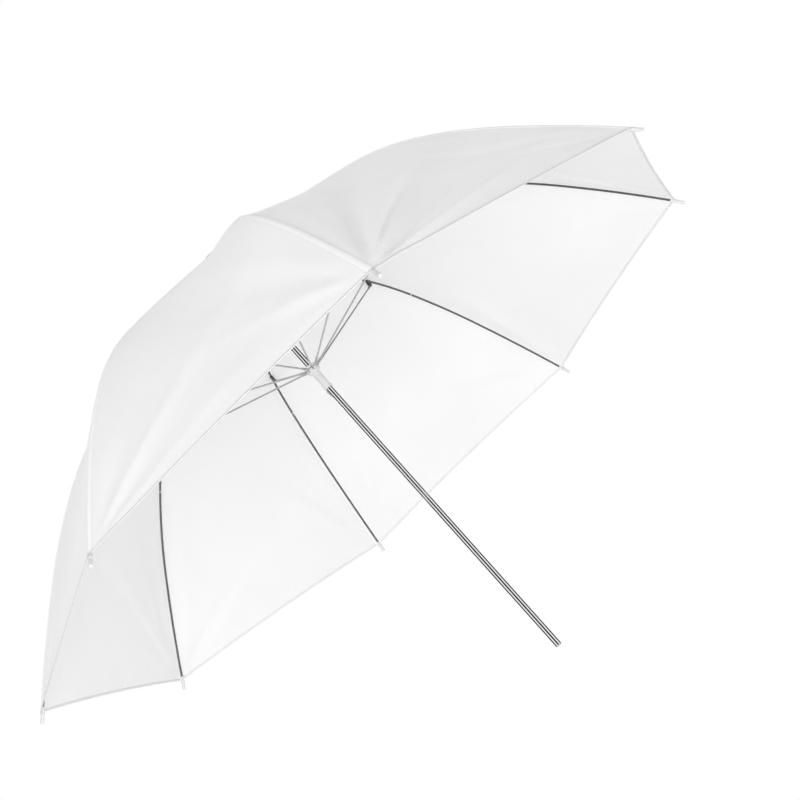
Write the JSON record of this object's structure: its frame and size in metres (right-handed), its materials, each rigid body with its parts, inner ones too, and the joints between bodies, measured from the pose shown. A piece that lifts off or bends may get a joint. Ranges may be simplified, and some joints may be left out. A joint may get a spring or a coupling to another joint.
{
  "type": "photographic umbrella",
  "caption": "White shoot-through studio umbrella: a ribbed translucent nylon dome on a slim chrome shaft, folded by a sliding runner.",
  "frame": {"origin": "centre of the shaft tube's free end", "axes": "+Z along the shaft towards the crown, +X over rib 1"},
  "size_m": [1.0088, 1.0088, 0.6445],
  "materials": {
    "shaft_chrome": "polished chrome plate",
    "white_plastic": "moulded white nylon, satin",
    "rib_steel": "dark oxide spring steel, satin",
    "clip_steel": "dark oxide sheet steel, satin",
    "stretcher_steel": "zinc plated wire",
    "spring_wire": "bright spring steel",
    "canopy_nylon": "translucent white nylon taffeta"
  },
  "bodies": {
    "shaft": {"shaft": "shaft_chrome", "end_plug": "shaft_chrome", "crown_notch": "white_plastic", "crown_ring": "spring_wire", "crown_patch": "canopy_nylon", "crown_cap": "white_plastic", "stop_pin": "spring_wire", "catch_pin": "spring_wire"},
    "runner": {"runner": "white_plastic", "runner_ring": "spring_wire"},
    "catch": {"catch": "spring_wire"},
    "rib_1": {"rib_1": "rib_steel", "rib_tip_1": "white_plastic", "joint_clip_1": "clip_steel"},
    "stretcher_1": {"stretcher_1": "stretcher_steel"},
    "pleat_left_1": {"half_gore_left_1": "canopy_nylon"},
    "pleat_right_1": {"half_gore_right_1": "canopy_nylon"},
    "rib_2": {"rib_2": "rib_steel", "rib_tip_2": "white_plastic", "joint_clip_2": "clip_steel"},
    "stretcher_2": {"stretcher_2": "stretcher_steel"},
    "pleat_left_2": {"half_gore_left_2": "canopy_nylon"},
    "pleat_right_2": {"half_gore_right_2": "canopy_nylon"},
    "rib_3": {"rib_3": "rib_steel", "rib_tip_3": "white_plastic", "joint_clip_3": "clip_steel"},
    "stretcher_3": {"stretcher_3": "stretcher_steel"},
    "pleat_left_3": {"half_gore_left_3": "canopy_nylon"},
    "pleat_right_3": {"half_gore_right_3": "canopy_nylon"},
    "rib_4": {"rib_4": "rib_steel", "rib_tip_4": "white_plastic", "joint_clip_4": "clip_steel"},
    "stretcher_4": {"stretcher_4": "stretcher_steel"},
    "pleat_left_4": {"half_gore_left_4": "canopy_nylon"},
    "pleat_right_4": {"half_gore_right_4": "canopy_nylon"},
    "rib_5": {"rib_5": "rib_steel", "rib_tip_5": "white_plastic", "joint_clip_5": "clip_steel"},
    "stretcher_5": {"stretcher_5": "stretcher_steel"},
    "pleat_left_5": {"half_gore_left_5": "canopy_nylon"},
    "pleat_right_5": {"half_gore_right_5": "canopy_nylon"},
    "rib_6": {"rib_6": "rib_steel", "rib_tip_6": "white_plastic", "joint_clip_6": "clip_steel"},
    "stretcher_6": {"stretcher_6": "stretcher_steel"},
    "pleat_left_6": {"half_gore_left_6": "canopy_nylon"},
    "pleat_right_6": {"half_gore_right_6": "canopy_nylon"},
    "rib_7": {"rib_7": "rib_steel", "rib_tip_7": "white_plastic", "joint_clip_7": "clip_steel"},
    "stretcher_7": {"stretcher_7": "stretcher_steel"},
    "pleat_left_7": {"half_gore_left_7": "canopy_nylon"},
    "pleat_right_7": {"half_gore_right_7": "canopy_nylon"},
    "rib_8": {"rib_8": "rib_steel", "rib_tip_8": "white_plastic", "joint_clip_8": "clip_steel"},
    "stretcher_8": {"stretcher_8": "stretcher_steel"},
    "pleat_left_8": {"half_gore_left_8": "canopy_nylon"},
    "pleat_right_8": {"half_gore_right_8": "canopy_nylon"}
  },
  "joints": [
    {"name": "canopy_fold", "type": "hinge", "parent": "shaft", "child": "rib_1", "pos_m": [0.0068, 0, 0.639], "axis": [0, 1, 0], "range_deg": [0, 56], "deforming": ["half_gore_left_1", "half_gore_right_1", "half_gore_left_2", "half_gore_right_2", "half_gore_left_3", "half_gore_right_3", "half_gore_left_4", "half_gore_right_4", "half_gore_left_5", "half_gore_right_5", "half_gore_left_6", "half_gore_right_6", "half_gore_left_7", "half_gore_right_7", "half_gore_left_8", "half_gore_right_8", "catch"]},
    {"name": "stretcher_1_turn", "type": "hinge", "parent": "rib_1", "child": "stretcher_1", "pos_m": [0.24364, 0, 0.54171], "axis": [0, 1, 0], "range_deg": [-112, 0]},
    {"name": "pleat_left_1_turn", "type": "hinge", "parent": "rib_1", "child": "pleat_left_1", "pos_m": [0.0068, 0.00135, 0.639], "axis": [-0.6547, -0.6709, -0.3481], "range_deg": [0, 22.29]},
    {"name": "pleat_right_1_turn", "type": "hinge", "parent": "rib_1", "child": "pleat_right_1", "pos_m": [0.0068, -0.00135, 0.639], "axis": [0.6547, -0.6709, 0.3481], "range_deg": [0, 22.29]},
    {"name": "rib_2_fold", "type": "hinge", "parent": "shaft", "child": "rib_2", "pos_m": [0.00481, 0.00481, 0.639], "axis": [-0.7071, 0.7071, 0], "range_deg": [0, 56]},
    {"name": "stretcher_2_turn", "type": "hinge", "parent": "rib_2", "child": "stretcher_2", "pos_m": [0.17228, 0.17228, 0.54171], "axis": [-0.7071, 0.7071, 0], "range_deg": [-112, 0]},
    {"name": "pleat_left_2_turn", "type": "hinge", "parent": "rib_2", "child": "pleat_left_2", "pos_m": [0.00385, 0.00576, 0.639], "axis": [0.0114, -0.9374, -0.3481], "range_deg": [0, 22.29]},
    {"name": "pleat_right_2_turn", "type": "hinge", "parent": "rib_2", "child": "pleat_right_2", "pos_m": [0.00576, 0.00385, 0.639], "axis": [0.9374, -0.0114, 0.3481], "range_deg": [0, 22.29]},
    {"name": "rib_3_fold", "type": "hinge", "parent": "shaft", "child": "rib_3", "pos_m": [0, 0.0068, 0.639], "axis": [-1, 0, 0], "range_deg": [0, 56]},
    {"name": "stretcher_3_turn", "type": "hinge", "parent": "rib_3", "child": "stretcher_3", "pos_m": [0, 0.24364, 0.54171], "axis": [-1, 0, 0], "range_deg": [-112, 0]},
    {"name": "pleat_left_3_turn", "type": "hinge", "parent": "rib_3", "child": "pleat_left_3", "pos_m": [-0.00135, 0.0068, 0.639], "axis": [0.6709, -0.6547, -0.3481], "range_deg": [0, 22.29]},
    {"name": "pleat_right_3_turn", "type": "hinge", "parent": "rib_3", "child": "pleat_right_3", "pos_m": [0.00135, 0.0068, 0.639], "axis": [0.6709, 0.6547, 0.3481], "range_deg": [0, 22.29]},
    {"name": "rib_4_fold", "type": "hinge", "parent": "shaft", "child": "rib_4", "pos_m": [-0.00481, 0.00481, 0.639], "axis": [-0.7071, -0.7071, 0], "range_deg": [0, 56]},
    {"name": "stretcher_4_turn", "type": "hinge", "parent": "rib_4", "child": "stretcher_4", "pos_m": [-0.17228, 0.17228, 0.54171], "axis": [-0.7071, -0.7071, 0], "range_deg": [-112, 0]},
    {"name": "pleat_left_4_turn", "type": "hinge", "parent": "rib_4", "child": "pleat_left_4", "pos_m": [-0.00576, 0.00385, 0.639], "axis": [0.9374, 0.0114, -0.3481], "range_deg": [0, 22.29]},
    {"name": "pleat_right_4_turn", "type": "hinge", "parent": "rib_4", "child": "pleat_right_4", "pos_m": [-0.00385, 0.00576, 0.639], "axis": [0.0114, 0.9374, 0.3481], "range_deg": [0, 22.29]},
    {"name": "rib_5_fold", "type": "hinge", "parent": "shaft", "child": "rib_5", "pos_m": [-0.0068, 0, 0.639], "axis": [0, -1, 0], "range_deg": [0, 56]},
    {"name": "stretcher_5_turn", "type": "hinge", "parent": "rib_5", "child": "stretcher_5", "pos_m": [-0.24364, 0, 0.54171], "axis": [0, -1, 0], "range_deg": [-112, 0]},
    {"name": "pleat_left_5_turn", "type": "hinge", "parent": "rib_5", "child": "pleat_left_5", "pos_m": [-0.0068, -0.00135, 0.639], "axis": [0.6547, 0.6709, -0.3481], "range_deg": [0, 22.29]},
    {"name": "pleat_right_5_turn", "type": "hinge", "parent": "rib_5", "child": "pleat_right_5", "pos_m": [-0.0068, 0.00135, 0.639], "axis": [-0.6547, 0.6709, 0.3481], "range_deg": [0, 22.29]},
    {"name": "rib_6_fold", "type": "hinge", "parent": "shaft", "child": "rib_6", "pos_m": [-0.00481, -0.00481, 0.639], "axis": [0.7071, -0.7071, 0], "range_deg": [0, 56]},
    {"name": "stretcher_6_turn", "type": "hinge", "parent": "rib_6", "child": "stretcher_6", "pos_m": [-0.17228, -0.17228, 0.54171], "axis": [0.7071, -0.7071, 0], "range_deg": [-112, 0]},
    {"name": "pleat_left_6_turn", "type": "hinge", "parent": "rib_6", "child": "pleat_left_6", "pos_m": [-0.00385, -0.00576, 0.639], "axis": [-0.0114, 0.9374, -0.3481], "range_deg": [0, 22.29]},
    {"name": "pleat_right_6_turn", "type": "hinge", "parent": "rib_6", "child": "pleat_right_6", "pos_m": [-0.00576, -0.00385, 0.639], "axis": [-0.9374, 0.0114, 0.3481], "range_deg": [0, 22.29]},
    {"name": "rib_7_fold", "type": "hinge", "parent": "shaft", "child": "rib_7", "pos_m": [0, -0.0068, 0.639], "axis": [1, 0, 0], "range_deg": [0, 56]},
    {"name": "stretcher_7_turn", "type": "hinge", "parent": "rib_7", "child": "stretcher_7", "pos_m": [0, -0.24364, 0.54171], "axis": [1, 0, 0], "range_deg": [-112, 0]},
    {"name": "pleat_left_7_turn", "type": "hinge", "parent": "rib_7", "child": "pleat_left_7", "pos_m": [0.00135, -0.0068, 0.639], "axis": [-0.6709, 0.6547, -0.3481], "range_deg": [0, 22.29]},
    {"name": "pleat_right_7_turn", "type": "hinge", "parent": "rib_7", "child": "pleat_right_7", "pos_m": [-0.00135, -0.0068, 0.639], "axis": [-0.6709, -0.6547, 0.3481], "range_deg": [0, 22.29]},
    {"name": "rib_8_fold", "type": "hinge", "parent": "shaft", "child": "rib_8", "pos_m": [0.00481, -0.00481, 0.639], "axis": [0.7071, 0.7071, 0], "range_deg": [0, 56]},
    {"name": "stretcher_8_turn", "type": "hinge", "parent": "rib_8", "child": "stretcher_8", "pos_m": [0.17228, -0.17228, 0.54171], "axis": [0.7071, 0.7071, 0], "range_deg": [-112, 0]},
    {"name": "pleat_left_8_turn", "type": "hinge", "parent": "rib_8", "child": "pleat_left_8", "pos_m": [0.00576, -0.00385, 0.639], "axis": [-0.9374, -0.0114, -0.3481], "range_deg": [0, 22.29]},
    {"name": "pleat_right_8_turn", "type": "hinge", "parent": "rib_8", "child": "pleat_right_8", "pos_m": [0.00385, -0.00576, 0.639], "axis": [-0.0114, -0.9374, 0.3481], "range_deg": [0, 22.29]},
    {"name": "runner_turn", "type": "hinge", "parent": "stretcher_1", "child": "runner", "pos_m": [0.0068, 0, 0.44442], "axis": [0, 1, 0], "range_deg": [0, 56]},
    {"name": "catch_press", "type": "hinge", "parent": "shaft", "child": "catch", "pos_m": [-0.0018, 0, 0.39142], "axis": [0, 1, 0], "range_deg": [0, 8], "stiffness_Nm_per_rad": 0.05, "springref_deg": -8.02}
  ],
  "couplings": [
    {"joint": "stretcher_1_turn", "follows": "canopy_fold", "ratio": -2},
    {"joint": "pleat_left_1_turn", "follows": "canopy_fold", "ratio": 0.3981},
    {"joint": "pleat_right_1_turn", "follows": "canopy_fold", "ratio": 0.3981},
    {"joint": "rib_2_fold", "follows": "canopy_fold", "ratio": 1},
    {"joint": "stretcher_2_turn", "follows": "canopy_fold", "ratio": -2},
    {"joint": "pleat_left_2_turn", "follows": "canopy_fold", "ratio": 0.3981},
    {"joint": "pleat_right_2_turn", "follows": "canopy_fold", "ratio": 0.3981},
    {"joint": "rib_3_fold", "follows": "canopy_fold", "ratio": 1},
    {"joint": "stretcher_3_turn", "follows": "canopy_fold", "ratio": -2},
    {"joint": "pleat_left_3_turn", "follows": "canopy_fold", "ratio": 0.3981},
    {"joint": "pleat_right_3_turn", "follows": "canopy_fold", "ratio": 0.3981},
    {"joint": "rib_4_fold", "follows": "canopy_fold", "ratio": 1},
    {"joint": "stretcher_4_turn", "follows": "canopy_fold", "ratio": -2},
    {"joint": "pleat_left_4_turn", "follows": "canopy_fold", "ratio": 0.3981},
    {"joint": "pleat_right_4_turn", "follows": "canopy_fold", "ratio": 0.3981},
    {"joint": "rib_5_fold", "follows": "canopy_fold", "ratio": 1},
    {"joint": "stretcher_5_turn", "follows": "canopy_fold", "ratio": -2},
    {"joint": "pleat_left_5_turn", "follows": "canopy_fold", "ratio": 0.3981},
    {"joint": "pleat_right_5_turn", "follows": "canopy_fold", "ratio": 0.3981},
    {"joint": "rib_6_fold", "follows": "canopy_fold", "ratio": 1},
    {"joint": "stretcher_6_turn", "follows": "canopy_fold", "ratio": -2},
    {"joint": "pleat_left_6_turn", "follows": "canopy_fold", "ratio": 0.3981},
    {"joint": "pleat_right_6_turn", "follows": "canopy_fold", "ratio": 0.3981},
    {"joint": "rib_7_fold", "follows": "canopy_fold", "ratio": 1},
    {"joint": "stretcher_7_turn", "follows": "canopy_fold", "ratio": -2},
    {"joint": "pleat_left_7_turn", "follows": "canopy_fold", "ratio": 0.3981},
    {"joint": "pleat_right_7_turn", "follows": "canopy_fold", "ratio": 0.3981},
    {"joint": "rib_8_fold", "follows": "canopy_fold", "ratio": 1},
    {"joint": "stretcher_8_turn", "follows": "canopy_fold", "ratio": -2},
    {"joint": "pleat_left_8_turn", "follows": "canopy_fold", "ratio": 0.3981},
    {"joint": "pleat_right_8_turn", "follows": "canopy_fold", "ratio": 0.3981},
    {"joint": "runner_turn", "follows": "canopy_fold", "ratio": 1}
  ]
}
